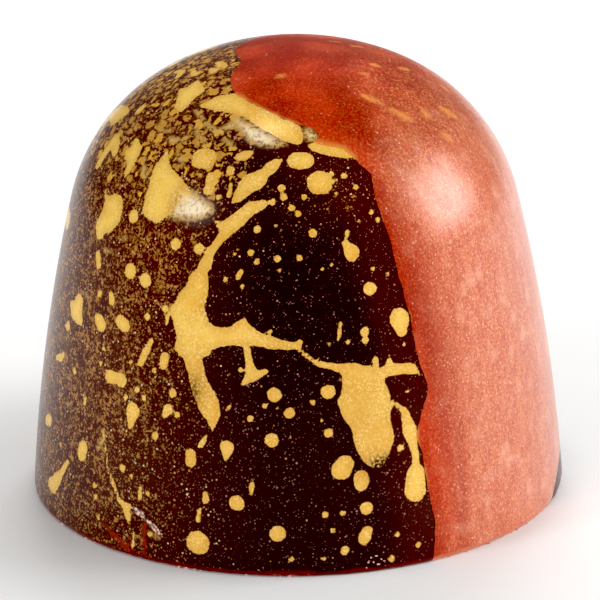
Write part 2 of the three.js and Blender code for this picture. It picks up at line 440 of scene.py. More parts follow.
@dataclass
class TurnedOutline:
    """The outline that the shell is turned from, as arcs tangent to each other."""

    base_radius: float
    foot_radius: float = 0.25
    wall_lean: float = 4.0
    wall_radius: float = 94.5
    shoulder_lean: float = 13.5
    shoulder_radius: float = 9.9
    crown_lean: float = 65.0
    step: float = 0.172
    base_rings: int = 8
    points: list[Point] = field(default_factory=list)
    girths: list[float] = field(default_factory=list)

    def __post_init__(self) -> None:
        """Lay the arcs one after the other, from the foot to the axis."""
        self.points = [(self.base_radius - self.foot_radius, 0.0)]
        self.girths = [0.0]
        self._add_arc(self.foot_radius, -90.0, self.wall_lean)
        self._add_arc(self.wall_radius, self.wall_lean, self.shoulder_lean)
        self._add_arc(self.shoulder_radius, self.shoulder_lean, self.crown_lean)
        crown_radius = self.points[-1][0] / math.cos(math.radians(self.crown_lean))
        self._add_arc(crown_radius, self.crown_lean, 90.0)

    def _add_arc(self, radius: float, start_lean: float, end_lean: float) -> None:
        """Carry the outline on along one arc.

        Args:
            radius: The arc's radius.
            start_lean: The lean of the wall where the arc starts, in degrees.
            end_lean: The lean where it ends.
        """
        first, last = math.radians(start_lean), math.radians(end_lean)
        reach, height = self.points[-1]
        length = radius * (last - first)
        steps = max(3, math.ceil(length / self.step))
        start_girth = self.girths[-1]
        for index in range(1, steps + 1):
            lean = first + (last - first) * index / steps
            self.points.append((
                max(0.0, reach - radius * (math.cos(first) - math.cos(lean))),
                height + radius * (math.sin(lean) - math.sin(first)),
            ))
            self.girths.append(start_girth + length * index / steps)

    @property
    def whole_girth(self) -> float:
        """Give the distance up the surface from the foot to the top.

        Returns:
            The distance, in millimetres.
        """
        return self.girths[-1]

    def reach(self, girth: float) -> Point:
        """Find the outline at a girth.

        Args:
            girth: The distance up the surface from the foot.

        Returns:
            The radius and the height there.
        """
        girth = min(self.whole_girth, max(0.0, girth))
        after = min(len(self.girths) - 1, max(1, bisect_left(self.girths, girth)))
        low, high = self.girths[after - 1], self.girths[after]
        share = (girth - low) / (high - low)
        before_point, after_point = self.points[after - 1], self.points[after]
        radius = before_point[0] + (after_point[0] - before_point[0]) * share
        height = before_point[1] + (after_point[1] - before_point[1]) * share
        return radius, height

    def place(self, azimuth: float, girth: float) -> Vector:
        """Find a point of the surface.

        Args:
            azimuth: Degrees round from the front towards +X.
            girth: The distance up the surface from the foot.

        Returns:
            The point, in millimetres.
        """
        radius, height = self.reach(girth)
        turn = math.radians(azimuth)
        return Vector((radius * math.sin(turn), -radius * math.cos(turn), height))


class Closed:
    """A closed outline on the surface, with a test for what lies inside."""

    def __init__(self, corners: tuple[Point, ...], surface: TurnedOutline) -> None:
        """Keep the corners and walk the edge in short steps.

        Args:
            corners: The outline's corners as azimuth and girth.
            surface: The shell's outline.
        """
        self.corners = corners
        self.edge = [surface.place(*point) for point in self._walk(surface)]

    def _walk(self, surface: TurnedOutline, step: float = 0.06) -> Iterator[Point]:
        """Step along the edge.

        Args:
            surface: The shell's outline.
            step: The longest step, in millimetres.

        Yields:
            Azimuth and girth of each step.
        """
        for start, end in zip(self.corners, self.corners[1:] + self.corners[:1]):
            if abs(end[0] - start[0]) > 180.0:
                continue
            length = (surface.place(*end) - surface.place(*start)).length
            count = max(1, math.ceil(length / step))
            for index in range(count):
                share = index / count
                yield tuple(a + (b - a) * share for a, b in zip(start, end))

    def crossings(self, azimuth: float) -> list[float]:
        """Find where the outline crosses a meridian.

        Args:
            azimuth: The meridian, in degrees.

        Returns:
            The girth of each crossing.
        """
        found = []
        for (left, low), (right, high) in zip(self.corners, self.corners[1:] + self.corners[:1]):
            if abs(right - left) > 180.0 or left == right:
                continue
            for turned in (azimuth - 360.0, azimuth, azimuth + 360.0):
                if (left <= turned) != (right <= turned):
                    share = (turned - left) / (right - left)
                    found.append(low + (high - low) * share)
        return found


class SurfaceMarks:
    """The shell's points, and the marks laid on them."""

    REACH = 0.4  # mm, how far outside a mark its distance is still kept

    def __init__(self, surface: TurnedOutline, points: list[Vector], girths: list[float]) -> None:
        """Index the points so that what lies near a mark is found fast.

        Args:
            surface: The shell's outline.
            points: The mesh's points, in millimetres.
            girths: The girth of each of them.
        """
        self.surface = surface
        self.points = points
        self.girths = girths
        self.azimuths = [math.degrees(math.atan2(p.x, -p.y)) for p in points]
        self.tree = KDTree(len(points))
        for index, point in enumerate(points):
            self.tree.insert(point, index)
        self.tree.balance()

    def blank(self) -> list[float]:
        """Start with no mark anywhere.

        Returns:
            A value for every point that lies well outside any mark.
        """
        return [-self.REACH] * len(self.points)

    def spines(self, values: list[float], spines: Iterable[tuple[Mark, ...]]) -> None:
        """Lay strokes, each as thick as its marks say.

        Args:
            values: Millimetres inside the nearest mark, changed in place.
            spines: The strokes.
        """
        for spine in spines:
            for azimuth, girth, width in self._beads(spine):
                bead = self.surface.place(azimuth, girth)
                for _, index, distance in self.tree.find_range(bead, width + self.REACH):
                    values[index] = max(values[index], width - distance)

    def _beads(self, spine: tuple[Mark, ...], step: float = 0.05) -> Iterator[Mark]:
        """Walk along a spine.

        Args:
            spine: Its marks.
            step: The longest step, in millimetres.

        Yields:
            A mark for each step.
        """
        for start, end in zip(spine, spine[1:]):
            gap = self.surface.place(*end[:2]) - self.surface.place(*start[:2])
            count = max(1, math.ceil(gap.length / step))
            for index in range(count):
                share = index / count
                yield tuple(a + (b - a) * share for a, b in zip(start, end))
        yield spine[-1]

    def blots(self, values: list[float], blots: Iterable[tuple[Point, ...]]) -> None:
        """Lay closed blots.

        Args:
            values: Millimetres inside the nearest mark, changed in place.
            blots: The corners of each blot.
        """
        for corners in blots:
            blot = Closed(corners, self.surface)
            middle = sum(blot.edge, Vector()) / len(blot.edge)
            span = max((point - middle).length for point in blot.edge)
            edge = self._edge_tree(blot)
            for point, index, _ in self.tree.find_range(middle, span + self.REACH):
                distance = edge.find(point)[2]
                girth = self.girths[index]
                above = sum(cross > girth for cross in blot.crossings(self.azimuths[index]))
                value = distance if above % 2 else -min(distance, self.REACH)
                values[index] = max(values[index], value)

    def coat(self, corners: tuple[Point, ...]) -> list[float]:
        """Measure how far each point lies inside a coat that covers the top.

        Args:
            corners: The coat's edge, once round.

        Returns:
            Millimetres inside the edge, negative outside.
        """
        edge = Closed(corners, self.surface)
        tree = self._edge_tree(edge)
        crossings = lru_cache(maxsize=None)(edge.crossings)
        values = []
        for point, azimuth, girth in zip(self.points, self.azimuths, self.girths):
            distance = tree.find(point)[2]
            above = sum(cross > girth for cross in crossings(round(azimuth, 3)))
            values.append(-distance if above % 2 else distance)
        return values

    @staticmethod
    def _edge_tree(outline: Closed) -> KDTree:
        """Index the steps of an outline's edge.

        Args:
            outline: The outline.

        Returns:
            The index.
        """
        tree = KDTree(len(outline.edge))
        for index, point in enumerate(outline.edge):
            tree.insert(point, index)
        tree.balance()
        return tree

    def each(self, rule: Callable[[float, float], float]) -> list[float]:
        """Work out a value at every point.

        Args:
            rule: Gives the value at an azimuth and a girth.

        Returns:
            The value of each point.
        """
        return [rule(azimuth, girth) for azimuth, girth in zip(self.azimuths, self.girths)]


@dataclass(frozen=True)
class HiddenSplatter:
    """Seeded splashes and drops for the back, of the kinds that the front shows."""

    seed: int = 26
    first_azimuth: float = 96.0
    last_azimuth: float = 266.0
    splashes: int = 13
    drops: int = 150
    girths: Span = (0.8, 27.0)
    lengths: Span = (1.2, 3.6)
    widths: Span = (0.25, 0.6)
    bends: Span = (3.0, 7.0)  # degrees that a tail strays at its middle and at its end
    tail_width: float = 0.12
    least_drop: float = 0.1
    drop_range: float = 0.5
    rarity: float = 2.6  # the higher, the fewer of the drops are large
    longest_drop: float = 0.35
    crowding: float = 0.8  # below 1, more marks lie towards the left of the back

    def spines(self) -> list[tuple[Mark, ...]]:
        """Draw the splashes with their tails, and the drops.

        Returns:
            The spine of each.
        """
        dice = random.Random(self.seed)
        drawn = []
        for _ in range(self.splashes):
            azimuth, girth = self._spot(dice)
            lean = dice.uniform(-1.0, 1.0)
            length = dice.uniform(*self.lengths)
            width = dice.uniform(*self.widths)
            drawn.append((
                (azimuth, girth, width),
                (azimuth + self.bends[0] * lean, girth - 0.4 * length, 0.6 * width),
                (azimuth + self.bends[1] * lean, girth - length, self.tail_width),
            ))
        for _ in range(self.drops):
            azimuth, girth = self._spot(dice)
            width = self.least_drop + self.drop_range * dice.random() ** self.rarity
            drop = girth - dice.uniform(0.0, self.longest_drop)
            drawn.append(((azimuth, girth, width), (azimuth, drop, 0.8 * width)))
        return drawn

    def _spot(self, dice: random.Random) -> Point:
        """Draw a place, thinner towards the right of the back.

        Args:
            dice: The source of the draw.

        Returns:
            Its azimuth and girth.
        """
        share = dice.random() ** self.crowding
        azimuth = self.first_azimuth + (self.last_azimuth - self.first_azimuth) * share
        return azimuth, dice.uniform(*self.girths)


class ShaderGraph:
    """One material's nodes, added and joined by short calls."""

    TURN = (0.5, 0.8, 0.3)  # radians, so that the cells don't line up with the axes
    SWING = 4.0  # what lifts noise from its usual quarter to a swing of 1
    SHARP = 0.7  # the share of a speck's radius where it starts to fade
    STRAY_SCALE = 1.6  # waves of an island's ragged outline in an island
    ISLAND_EDGE = (-0.05, 0.08)  # where an island's edge fades, in islands

    def __init__(self, name: str) -> None:
        """Start a material.

        Args:
            name: The material's name.
        """
        self.material = bpy.data.materials.new(name)
        self.material.use_nodes = True
        self.tree = self.material.node_tree
        self.tree.nodes.clear()
        coordinates = self.add("ShaderNodeTexCoord").outputs["Object"]
        self.place = self.stretch(coordinates, (1.0 / MM, 1.0 / MM, 1.0 / MM))
        turned = {"Vector": self.place, "Rotation": self.TURN}
        self.turned = self.add("ShaderNodeMapping", turned).outputs[0]

    def add(
        self, kind: str, inputs: dict[int | str, Source] | None = None, **settings: str
    ) -> bpy.types.Node:
        """Add a node, set it up and join its inputs.

        Args:
            kind: The node's type.
            inputs: A socket, number or linear colour for each input that is set.
            **settings: The node's own properties.

        Returns:
            The node.
        """
        node = self.tree.nodes.new(kind)
        for key, value in settings.items():
            setattr(node, key, value)
        for key, value in (inputs or {}).items():
            if isinstance(value, Socket):
                self.tree.links.new(value, node.inputs[key])
            else:
                node.inputs[key].default_value = value
        return node

    def attribute(self, layer: Layer) -> Socket:
        """Read a number from the mesh.

        Args:
            layer: The attribute that holds it.

        Returns:
            The number.
        """
        return self.add("ShaderNodeAttribute", attribute_name=layer.value).outputs["Fac"]

    def stretch(self, vector: Source, scale: tuple[float, float, float]) -> Socket:
        """Scale a pattern's coordinates.

        Args:
            vector: The coordinates.
            scale: The scale along each axis.

        Returns:
            The scaled coordinates.
        """
        return self.add("ShaderNodeMapping", {"Vector": vector, "Scale": scale}).outputs[0]

    def math(self, kind: str, first: Source, second: Source = 0.0) -> Socket:
        """Work out a number from two.

        Args:
            kind: The name of the sum, as the math node has it.
            first: The first number.
            second: The second number.

        Returns:
            The result.
        """
        return self.add("ShaderNodeMath", {0: first, 1: second}, operation=kind).outputs[0]

    def fold(self, kind: str, *terms: Source) -> Socket:
        """Work out one number from several.

        Args:
            kind: The name of the sum, as the math node has it.
            *terms: The numbers.

        Returns:
            The result.
        """
        whole = terms[0]
        for term in terms[1:]:
            whole = self.math(kind, whole, term)
        return whole

    total = partialmethod(fold, "ADD")  # adds up several numbers
    product = partialmethod(fold, "MULTIPLY")  # multiplies them
    largest = partialmethod(fold, "MAXIMUM")  # takes the largest of them

    def ramp(
        self, value: Source, low: Source, high: Source, bottom: Source = 0.0, top: Source = 1.0
    ) -> Socket:
        """Map a range smoothly onto another.

        Args:
            value: The number to map.
            low: Where the ramp starts.
            high: Where it ends.
            bottom: What it gives at low.
            top: What it gives at high.

        Returns:
            The mapped number.
        """
        inputs = {0: value, 1: low, 2: high, 3: bottom, 4: top}
        return self.add("ShaderNodeMapRange", inputs, interpolation_type="SMOOTHSTEP").outputs[0]

    def blend(self, share: Source, under: Source, over: Source) -> Socket:
        """Lay one colour over another.

        Args:
            share: How much of the upper colour shows, 0 to 1.
            under: The lower colour, a socket or an sRGB colour.
            over: The upper colour, a socket or an sRGB colour.

        Returns:
            The mixed colour.
        """
        under, over = (linear(c) if isinstance(c, tuple) else c for c in (under, over))
        return self.add("ShaderNodeMix", {0: share, 6: under, 7: over}, data_type="RGBA").outputs[2]

    def noise(
        self, scale: float, detail: float = 1.0, rough: float = 0.5, vector: Socket | None = None
    ) -> Socket:
        """Read smooth noise.

        Args:
            scale: Waves per millimetre.
            detail: How many finer octaves it has.
            rough: How strong they are.
            vector: The coordinates, the place in millimetres unless given.

        Returns:
            The noise, near 0.5.
        """
        inputs = {
            "Vector": self.place if vector is None else vector,
            "Scale": scale, "Detail": detail, "Roughness": rough,
        }
        return self.add("ShaderNodeTexNoise", inputs).outputs[0]

    def ripple(self, scale: float, height: float, detail: float = 1.0) -> Socket:
        """Read noise that is 0 on average.

        Args:
            scale: Waves per millimetre.
            height: How far it swings either way, about.
            detail: How many finer octaves it has.

        Returns:
            The noise.
        """
        centred = self.math("SUBTRACT", self.noise(scale, detail), 0.5)
        return self.math("MULTIPLY", centred, self.SWING * height)

    def specks(self, scale: float, chance: Source, sizes: Span, strengths: Span) -> Socket:
        """Scatter specks, at most one in each cell.

        Args:
            scale: Cells per millimetre.
            chance: The share of cells that hold a speck.
            sizes: The smallest and the largest radius, in cells.
            strengths: How well the faintest and the clearest speck show.

        Returns:
            How much of a speck shows, from 0 to 1.
        """
        cells = self.add("ShaderNodeTexVoronoi", {"Vector": self.turned, "Scale": scale})
        dice = self.add("ShaderNodeSeparateColor", {0: cells.outputs["Color"]})
        radius = self.ramp(dice.outputs[1], 0.0, 1.0, *sizes)
        inner = self.math("MULTIPLY", radius, self.SHARP)
        disc = self.ramp(cells.outputs["Distance"], inner, radius, 1.0, 0.0)
        chosen = self.math("LESS_THAN", dice.outputs[0], chance)
        return self.product(disc, chosen, self.ramp(dice.outputs[2], 0.0, 1.0, *strengths))

    def net(self, scale: float, wander: float, chance: Source, width: Source) -> tuple[Socket, Socket]:
        """Split the surface into ragged islands with veins between them.

        Args:
            scale: Islands per millimetre.
            wander: How far their outlines stray, in millimetres.
            chance: The share of islands that are there.
            width: Half the width of a vein, in islands.

        Returns:
            The mask of the islands, and a number that is random for each.
        """
        stray = {"Vector": self.place, "Scale": self.STRAY_SCALE * scale, "Detail": 2.0}
        shift = self.add("ShaderNodeTexNoise", stray).outputs["Color"]
        moved = {0: shift, 1: (wander, wander, wander), 2: self.turned}
        vector = self.add("ShaderNodeVectorMath", moved, operation="MULTIPLY_ADD").outputs[0]
        where = {"Vector": vector, "Scale": scale}
        border = self.add("ShaderNodeTexVoronoi", where, feature="DISTANCE_TO_EDGE").outputs[0]
        cells = self.add("ShaderNodeTexVoronoi", where).outputs["Color"]
        dice = self.add("ShaderNodeSeparateColor", {0: cells})
        island = self.ramp(self.math("SUBTRACT", border, width), *self.ISLAND_EDGE)
        chosen = self.math("LESS_THAN", dice.outputs[0], chance)
        return self.product(island, chosen), dice.outputs[2]

    def relief(self, height: Source) -> Socket:
        """Turn a height into a bump.

        Args:
            height: The height, in metres.

        Returns:
            The normal.
        """
        return self.add("ShaderNodeBump", {"Distance": 1.0, "Height": height}).outputs[0]

    def finish(self, **sockets: Source) -> bpy.types.Material:
        """Close the graph with its shader.

        Args:
            **sockets: The shader's inputs, with underscores for the spaces in their names.

        Returns:
            The material.
        """
        inputs = {name.replace("_", " "): value for name, value in sockets.items()}
        shader = self.add("ShaderNodeBsdfPrincipled", inputs)
        self.add("ShaderNodeOutputMaterial", {0: shader.outputs[0]})
        return self.material


@dataclass(frozen=True)
class PaintedFinish:
    """Glossy dark chocolate under yellow splashes and a brushed coat of copper red."""

    dark: Rgb = (32, 11, 9)
    dark_warm: Rgb = (62, 18, 12)
    dark_mist: Rgb = (90, 29, 17)
    tan_speck: Rgb = (204, 141, 87)
    pink_dust: Rgb = (186, 146, 138)
    net_dull: Rgb = (184, 132, 66)
    film: Rgb = (200, 158, 92)
    # pale film, also used for the painted haze of highlights and for painted glints in the spray
    pale_film_and_highlight: Rgb = (240, 216, 168)
    yellow_deep: Rgb = (236, 178, 75)
    yellow_light: Rgb = (250, 204, 102)
    yellow_rich: Rgb = (255, 211, 102)
    yellow_edge: Rgb = (206, 148, 65)
    yellow_spark: Rgb = (255, 226, 146)
    red_deep: Rgb = (154, 27, 14)
    red_bright: Rgb = (202, 58, 30)
    copper: Rgb = (211, 113, 80)
    copper_deep: Rgb = (194, 82, 49)
    gold_grain: Rgb = (236, 160, 96)
    rose_grain: Rgb = (246, 186, 158)
    brown_fleck: Rgb = (148, 66, 34)
    glow: Rgb = (232, 150, 76)
    foot: Rgb = (108, 20, 13)
    scraped: Rgb = (238, 172, 150)
    flake: Rgb = (238, 200, 184)
    smear: Rgb = (146, 42, 27)
    base: Rgb = (80, 42, 28)
    # painted glint colour, for pearl flakes catching the light
    glint: Rgb = (255, 226, 204)

    def build(self) -> bpy.types.Material:
        """Make the shell's material.

        Returns:
            The material.
        """
        graph = ShaderGraph("painted_chocolate")
        colour = self._speckled(graph)
        colour, yellow = self._splashed(graph, colour)
        colour, red = self._coated(graph, colour)
        colour, raw = self._trimmed(graph, colour, red)
        grain = graph.math("SUBTRACT", graph.noise(9.0, 1.0), 0.5)
        rough = graph.ramp(red, 0.0, 1.0, 0.24, 0.4)
        rough = graph.total(rough, graph.product(grain, graph.ramp(red, 0.0, 1.0, 0.12, 0.25)))
        rough = graph.ramp(raw, 0.0, 1.0, rough, 0.6)
        metal = graph.total(graph.product(red, 0.13), graph.product(yellow, 0.08))
        coat = graph.product(red, graph.ramp(graph.attribute(Layer.PALE_AND_SHEEN), 0.0, 1.0, 0.0, 1.0))
        waves = graph.product(graph.noise(0.2, 1.0), 0.05 * MM)
        pearl = graph.product(graph.noise(7.0, 1.0), red, 0.003 * MM)
        scrape = graph.product(graph.noise(1.6, 3.0), raw, 0.08 * MM)
        return graph.finish(
            Base_Color=colour, Roughness=rough, Metallic=metal, IOR=1.34,
            Coat_Weight=coat, Coat_Roughness=0.28,
            Normal=graph.relief(graph.total(waves, pearl, scrape)),
        )

    def _speckled(self, graph: ShaderGraph) -> Socket:
        """Lay the fine spray on the dark chocolate.

        Args:
            graph: The material's nodes.

        Returns:
            The colour so far.
        """
        mist = graph.attribute(Layer.MIST)
        froth = graph.attribute(Layer.FROTH)
        near_red = graph.ramp(graph.attribute(Layer.COAT), -3.4, -0.3)
        warmth = graph.total(near_red, graph.ripple(0.4, 0.2, 2.0))
        dark = graph.blend(graph.ramp(warmth, 0.0, 1.0), self.dark, self.dark_warm)
        soaked = graph.largest(graph.product(mist, 0.85), graph.product(froth, 0.4))
        dark = graph.blend(soaked, dark, self.dark_mist)
        powder = graph.blend(graph.ramp(mist, 0.1, 0.6), self.pink_dust, self.film)
        often = graph.ramp(mist, 0.0, 1.0, 0.55, 0.75)
        colour = graph.blend(graph.specks(8.0, often, (0.18, 0.38), (0.02, 0.5)), dark, powder)
        often = graph.ramp(mist, 0.0, 0.5, 0.3, 0.6)
        colour = graph.blend(graph.specks(3.8, often, (0.1, 0.25), (0.08, 0.7)), colour, powder)
        often = graph.ramp(mist, 0.0, 0.9, 0.08, 0.7)
        fine = graph.specks(4.6, often, (0.12, 0.34), (0.25, 0.9))
        clumps = graph.ramp(graph.noise(2.3, 3.0, 0.6), 0.36, 0.64, 0.6, 1.3)
        mist = graph.product(mist, graph.ramp(graph.noise(0.6, 2.0), 0.3, 0.7, 0.8, 1.15), clumps)
        level = graph.ramp(mist, 0.0, 1.0, 0.63, 0.405)
        finer = graph.noise(8.2, 1.0, 0.5, graph.turned)
        blobs = graph.math("MINIMUM", graph.noise(5.2, 2.0, 0.65), finer)
        merged = graph.ramp(blobs, level, graph.math("ADD", level, 0.14))
        merged = graph.product(merged, graph.ramp(graph.noise(1.3, 2.0), 0.3, 0.7, 0.55, 0.95))
        spray = graph.product(graph.largest(merged, fine), graph.ramp(froth, 0.1, 0.8, 1.0, 0.25))
        hue = graph.ramp(graph.noise(2.6, 2.0), 0.4, 0.6)
        colour = graph.blend(spray, colour, graph.blend(hue, self.tan_speck, self.net_dull))
        # painted glints: pale specks in the spray that stand for flecks catching the light
        often = graph.ramp(mist, 0.1, 0.7, 0.0, 0.5)
        spray_glints = graph.specks(4.8, often, (0.12, 0.32), (0.2, 0.9))
        colour = graph.blend(spray_glints, colour, self.pale_film_and_highlight)
        vein = graph.ramp(graph.noise(0.9, 2.0), 0.3, 0.7, 0.1, 0.22)
        small, _ = graph.net(4.4, 0.25, graph.ramp(froth, 0.0, 0.5, 0.0, 0.3), vein)
        colour = graph.blend(graph.product(small, 0.8), colour, self.tan_speck)
        often = graph.ramp(graph.attribute(Layer.MIST), 0.3, 0.9, 0.0, 0.16)
        blots, _ = graph.net(3.1, 0.35, often, 0.17)
        colour = graph.blend(graph.product(blots, 0.75), colour, self.net_dull)
        islands, dice = graph.net(1.75, 0.6, graph.ramp(froth, 0.05, 0.7, 0.0, 0.95), vein)
        mottle = graph.ramp(graph.noise(6.0, 2.0), 0.35, 0.65, 0.0, 0.4)
        bright = graph.total(graph.ramp(dice, 0.3, 1.0, 0.0, 0.7), mottle)
        net = graph.blend(bright, self.net_dull, self.yellow_deep)
        return graph.blend(graph.product(islands, 0.92), colour, net)

    def _splashed(self, graph: ShaderGraph, colour: Socket) -> tuple[Socket, Socket]:
        """Lay the yellow films and splashes.

        Args:
            graph: The material's nodes.
            colour: The colour so far.

        Returns:
            The colour, and the mask of the yellow.
        """
        mist = graph.attribute(Layer.MIST)
        crumbly = graph.product(graph.ripple(8.5, 0.055), mist)
        ragged = graph.total(graph.ripple(1.8, 0.045, 2.0), graph.ripple(6.0, 0.02), crumbly)
        within = graph.total(graph.attribute(Layer.FILM), ragged)
        film = graph.ramp(within, -0.06, 0.2)
        least = graph.ramp(within, 0.1, 0.5, 0.12, 0.5)
        broken = graph.ramp(graph.noise(5.0, 3.0, 0.7), 0.37, 0.53, least, 0.94)
        # thick film is laid pale; in the blots at the crown and the sail this pale is painted
        # highlight
        tone = graph.blend(graph.ramp(within, 0.15, 0.5), self.film, self.pale_film_and_highlight)
        colour = graph.blend(graph.product(film, broken), colour, tone)
        depth = graph.total(graph.attribute(Layer.SPLASH), ragged)
        thin = graph.attribute(Layer.THIN)
        # thin paint fades the yellow; at the sail this fading is a painted highlight
        fade = graph.product(graph.ramp(thin, 0.4, 1.0), graph.ramp(graph.noise(7.0, 2.0), 0.3, 0.6))
        mask = graph.product(graph.ramp(depth, -0.03, 0.03), graph.math("SUBTRACT", 1.0, fade))
        drift = graph.ramp(graph.noise(0.55, 2.0), 0.3, 0.7)
        yellow = graph.blend(drift, self.yellow_deep, self.yellow_light)
        thick = graph.ramp(mist, 0.35, 0.85, 0.0, 0.8)
        yellow = graph.blend(thick, yellow, self.yellow_rich)
        dull = graph.ramp(graph.noise(0.5, 3.0), 0.52, 0.7, 0.0, 0.25)
        worn = graph.ramp(thin, 0.0, 0.5, 0.0, 0.6)
        dull = graph.largest(dull, graph.product(worn, graph.ramp(thin, 0.5, 0.8, 1.0, 0.0)))
        yellow = graph.blend(dull, yellow, self.yellow_edge)
        yellow = graph.blend(graph.ramp(depth, 0.5, 0.05, 0.0, 0.45), yellow, self.yellow_edge)
        coarse = graph.ramp(graph.noise(0.8, 1.0), 0.35, 0.65, 0.28, 0.62)
        grain = graph.ramp(graph.noise(9.5, 2.0, 0.7), 0.49, 0.6)
        yellow = graph.blend(graph.product(grain, coarse), yellow, self.yellow_spark)
        pits = graph.ramp(graph.noise(8.5, 2.0, 0.7, graph.turned), 0.48, 0.38)
        yellow = graph.blend(graph.product(pits, coarse, 0.6), yellow, self.yellow_edge)
        return graph.blend(mask, colour, yellow), mask

    def _coated(self, graph: ShaderGraph, colour: Socket) -> tuple[Socket, Socket]:
        """Brush the pearly red over what is there.

        Args:
            graph: The material's nodes.
            colour: The colour so far.

        Returns:
            The colour, and the mask of the red.
        """
        ragged = graph.total(graph.ripple(1.3, 0.04, 2.0), graph.ripple(6.0, 0.02))
        inside = graph.total(graph.attribute(Layer.COAT), ragged)
        mask = graph.ramp(inside, -0.015, 0.03)
        strokes = graph.stretch(graph.place, (1.0, 1.0, 0.12))
        wide = graph.noise(0.45, 3.0, 0.5, strokes)
        narrow = graph.noise(1.6, 3.0, 0.6, strokes)
        streaks = graph.product(graph.math("SUBTRACT", wide, 0.5), 0.9)
        # pale copper: partly pearlier paint and partly painted sheen where the right light falls and
        # round its highlight
        pale_and_sheen = graph.total(graph.attribute(Layer.PALE_AND_SHEEN), streaks)
        deep = graph.blend(graph.ramp(wide, 0.35, 0.7), self.red_deep, self.red_bright)
        patchy = graph.noise(2.2, 3.0, 0.65, graph.stretch(graph.place, (1.0, 1.0, 0.45)))
        toned = graph.total(graph.product(narrow, 0.5), graph.product(patchy, 0.5))
        pale = graph.blend(graph.ramp(toned, 0.36, 0.6), self.copper_deep, self.copper)
        red = graph.blend(graph.ramp(pale_and_sheen, 0.0, 1.0), deep, pale)
        strength = graph.ramp(pale_and_sheen, 0.0, 1.0, 0.24, 0.75)
        grain = graph.ramp(graph.noise(9.0, 3.0, 0.7), 0.48, 0.64)
        red = graph.blend(graph.product(grain, strength), red, self.gold_grain)
        shade = graph.ramp(graph.noise(6.5, 3.0, 0.7), 0.56, 0.38, 0.0, 0.42)
        red = graph.blend(shade, red, self.red_deep)
        often = graph.ramp(pale_and_sheen, 0.0, 1.0, 0.05, 0.5)
        red = graph.blend(graph.specks(6.2, often, (0.18, 0.4), (0.05, 0.6)), red, self.rose_grain)
        bloom = graph.product(graph.ramp(graph.noise(0.9, 3.0), 0.5, 0.8, 0.0, 0.4), pale_and_sheen)
        red = graph.blend(bloom, red, self.rose_grain)
        thin = graph.attribute(Layer.THIN)
        flecks = graph.ramp(graph.noise(5.5, 3.0, 0.7), 0.48, 0.6)
        red = graph.blend(graph.product(flecks, thin, 0.7), red, self.brown_fleck)
        gilt = graph.ramp(graph.noise(7.0, 3.0, 0.7, graph.turned), 0.53, 0.63)
        red = graph.blend(graph.product(gilt, thin, 0.55), red, self.gold_grain)
        ghost = graph.total(graph.attribute(Layer.GHOST), graph.ripple(2.5, 0.05, 2.0))
        under = graph.ramp(graph.attribute(Layer.SPLASH), -0.25, 0.1)
        near_edge = graph.product(under, graph.ramp(inside, 0.5, 0.02))
        veiled = graph.ramp(graph.noise(5.0, 2.0, 0.7), 0.35, 0.6, 0.45, 0.85)
        ghost = graph.product(graph.ramp(ghost, -0.16, 0.16), veiled)
        shine = graph.largest(ghost, graph.product(near_edge, 0.75))
        red = graph.blend(shine, red, self.glow)
        # painted glints: pale specks for the pearl's flakes catching the light, more where the copper
        # is pale
        often = graph.ramp(pale_and_sheen, 0.0, 1.0, 0.015, 0.09)
        red = graph.blend(graph.specks(5.5, often, (0.12, 0.25), (0.6, 0.6)), red, self.glint)
        return graph.blend(mask, colour, red), mask

    def _trimmed(self, graph: ShaderGraph, colour: Socket, red: Socket) -> tuple[Socket, Socket]:
        """Finish the scar, the knife-trimmed foot and the scraped base.

        Args:
            graph: The material's nodes.
            colour: The colour so far.
            red: The mask of the red.

        Returns:
            The colour, and the mask of what is raw and matt.
        """
        ragged = graph.total(graph.ripple(2.4, 0.05, 2.0), graph.ripple(7.0, 0.03))
        smear = graph.ramp(graph.total(graph.attribute(Layer.SMEAR), ragged), -0.06, 0.08)
        smear = graph.product(smear, graph.ramp(graph.noise(4.5, 2.0), 0.35, 0.55, 0.3, 0.9))
        colour = graph.blend(smear, colour, self.smear)
        broken = graph.ramp(graph.noise(4.5, 2.0), 0.4, 0.55, 0.2, 1.0)
        flake = graph.ramp(graph.total(graph.attribute(Layer.FLAKE), ragged), -0.02, 0.03)
        flake = graph.product(flake, broken)
        colour = graph.blend(flake, colour, self.flake)
        girth = graph.attribute(Layer.GIRTH)
        height = graph.total(girth, graph.ripple(0.9, 0.1, 2.0))
        foot = graph.blend(red, self.foot, self.copper)
        colour = graph.blend(graph.ramp(height, 0.5, 0.28), colour, foot)
        chipped = graph.total(graph.noise(3.2, 3.0), graph.product(red, 0.12))
        rim = graph.product(graph.ramp(height, 0.26, 0.16), graph.ramp(chipped, 0.52, 0.6))
        shown = graph.product(rim, graph.ramp(red, 0.0, 1.0, 0.3, 0.9))
        colour = graph.blend(shown, colour, self.scraped)
        base = graph.ramp(girth, 0.0, -0.1)
        scratches = graph.noise(1.2, 3.0, 0.6, graph.stretch(graph.place, (0.12, 1.6, 1.0)))
        raw = graph.blend(graph.ramp(scratches, 0.3, 0.7), self.base, self.dark_mist)
        return graph.blend(base, colour, raw), graph.largest(base, graph.product(flake, 0.5))


